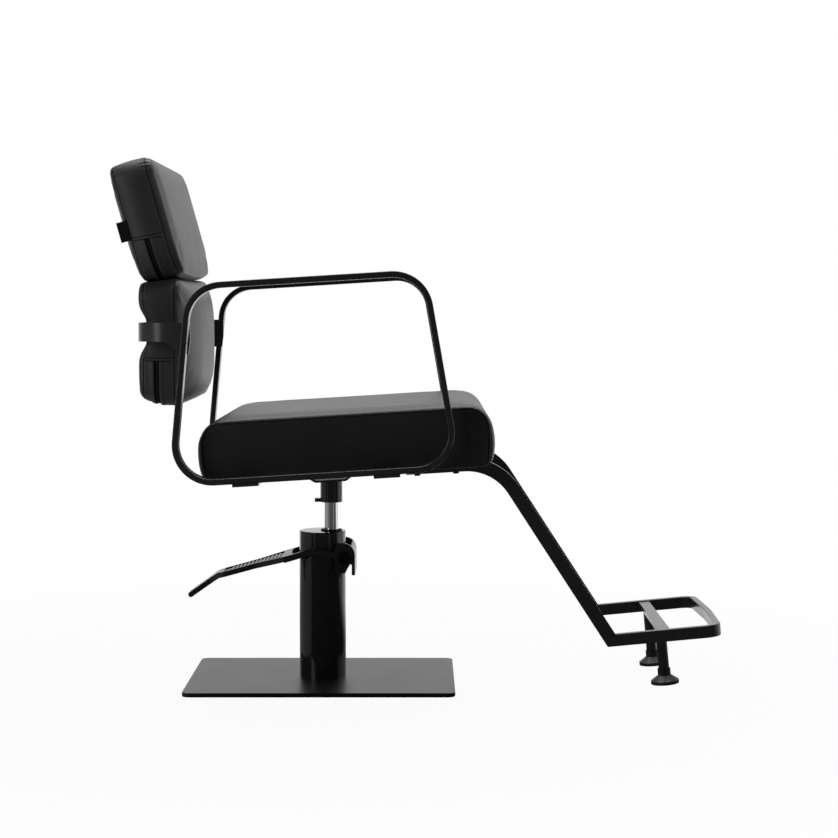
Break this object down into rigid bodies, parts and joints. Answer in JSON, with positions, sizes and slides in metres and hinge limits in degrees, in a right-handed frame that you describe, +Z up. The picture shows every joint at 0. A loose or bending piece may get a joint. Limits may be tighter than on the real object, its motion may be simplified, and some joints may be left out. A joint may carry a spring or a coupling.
{
  "type": "hairdressing chair",
  "caption": "Black hairdressing chair: padded seat and split back, steel loop arms, hanging footrest with levelling feet, and a pedal-pumped swivel column on a flat plate.",
  "frame": {"origin": "on the floor, at the centre of the base plate's underside, under the column's axis", "axes": "+X the way the chair faces, +Z up, +Y to the sitter's left"},
  "size_m": [1.1041, 0.628, 0.9711],
  "materials": {
    "powder_coat": "satin black powder coat",
    "column_enamel": "gloss black enamel",
    "cover": "black grained upholstery over foam, satin",
    "tag_cloth": "black woven cloth",
    "chrome": "polished",
    "dark_steel": "blackened steel",
    "bare_steel": "ground",
    "cast_iron": "as cast",
    "bronze": "turned",
    "rubber": "matt",
    "foot_plastic": "fine grain",
    "plywood": "raw plywood"
  },
  "bodies": {
    "base": {"base_plate": "powder_coat", "pump_flange": "cast_iron", "flange_screws": "dark_steel", "column_cover": "column_enamel", "reservoir_tube": "bare_steel", "pressure_tube": "bare_steel", "pump_head": "column_enamel", "head_cap": "column_enamel", "rod_gland": "bronze", "rod_wiper": "rubber", "pump_block": "column_enamel", "block_screws": "dark_steel", "pivot_bolts": "dark_steel"},
    "pedal": {"right_pedal_arm": "column_enamel", "left_pedal_arm": "column_enamel", "pedal_hood": "column_enamel", "pedal_web": "column_enamel", "pedal_tread": "column_enamel", "pedal_bushes": "bronze"},
    "plunger": {"pump_plunger": "bare_steel"},
    "piston": {"piston": "bare_steel", "piston_seal": "rubber"},
    "right_stud": {"right_foot_stud": "dark_steel"},
    "left_stud": {"left_foot_stud": "dark_steel"},
    "right_foot": {"right_foot": "foot_plastic"},
    "left_foot": {"left_foot": "foot_plastic"},
    "upper": {"right_arm": "powder_coat", "left_arm": "powder_coat", "back_band": "powder_coat", "right_band_gusset": "powder_coat", "left_band_gusset": "powder_coat", "right_leg": "powder_coat", "left_leg": "powder_coat", "footrest_hoop": "powder_coat", "footrest_crossbar": "powder_coat", "right_foot_tube": "powder_coat", "left_foot_tube": "powder_coat", "seat_bracket": "powder_coat", "rear_cross_flat": "powder_coat", "front_cross_flat": "powder_coat", "right_back_link": "powder_coat", "left_back_link": "powder_coat", "rod_socket": "column_enamel", "seat_cushion": "cover", "lower_back_cushion": "cover", "upper_back_cushion": "cover", "side_tag": "tag_cloth", "piston_rod": "chrome", "bracket_bolts": "dark_steel", "flat_screws": "dark_steel", "band_bolts": "dark_steel", "link_screws": "dark_steel", "leg_screws": "dark_steel", "rod_clip": "bare_steel", "under_board": "plywood", "seat_board": "plywood", "lower_back_board": "plywood", "upper_back_board": "plywood"}
  },
  "joints": [
    {"name": "pedal_hinge", "type": "hinge", "parent": "base", "child": "pedal", "pos_m": [0.042, 0, 0.2395], "axis": [0, -1, 0], "range_deg": [0, 18], "stiffness_Nm_per_rad": 8, "springref_deg": -20.63},
    {"name": "plunger_slide", "type": "slide", "parent": "base", "child": "plunger", "axis": [-1, 0, 0], "range_m": [0, 0.0026]},
    {"name": "lift", "type": "slide", "parent": "base", "child": "piston", "axis": [0, 0, 1], "range_m": [-0.004, 0.14]},
    {"name": "swivel", "type": "hinge", "parent": "piston", "child": "upper", "pos_m": [0.017, 0, 0.2], "axis": [0, 0, 1], "continuous": true},
    {"name": "right_foot_screw", "type": "slide", "parent": "upper", "child": "right_stud", "axis": [0.0924, 0, -0.9957], "range_m": [0, 0.004]},
    {"name": "right_foot_turn", "type": "hinge", "parent": "right_stud", "child": "right_foot", "pos_m": [0.63257, -0.093, 0.11314], "axis": [0.0924, 0, -0.9957], "range_deg": [0, 962]},
    {"name": "left_foot_screw", "type": "slide", "parent": "upper", "child": "left_stud", "axis": [0.0924, 0, -0.9957], "range_m": [0, 0.004]},
    {"name": "left_foot_turn", "type": "hinge", "parent": "left_stud", "child": "left_foot", "pos_m": [0.63257, 0.093, 0.11314], "axis": [0.0924, 0, -0.9957], "range_deg": [0, 962]}
  ],
  "couplings": [
    {"joint": "plunger_slide", "follows": "pedal_hinge", "m_per_rad": 0.008},
    {"joint": "right_foot_turn", "follows": "right_foot_screw", "rad_per_m": 4188.8},
    {"joint": "left_foot_turn", "follows": "left_foot_screw", "rad_per_m": 4188.8}
  ]
}
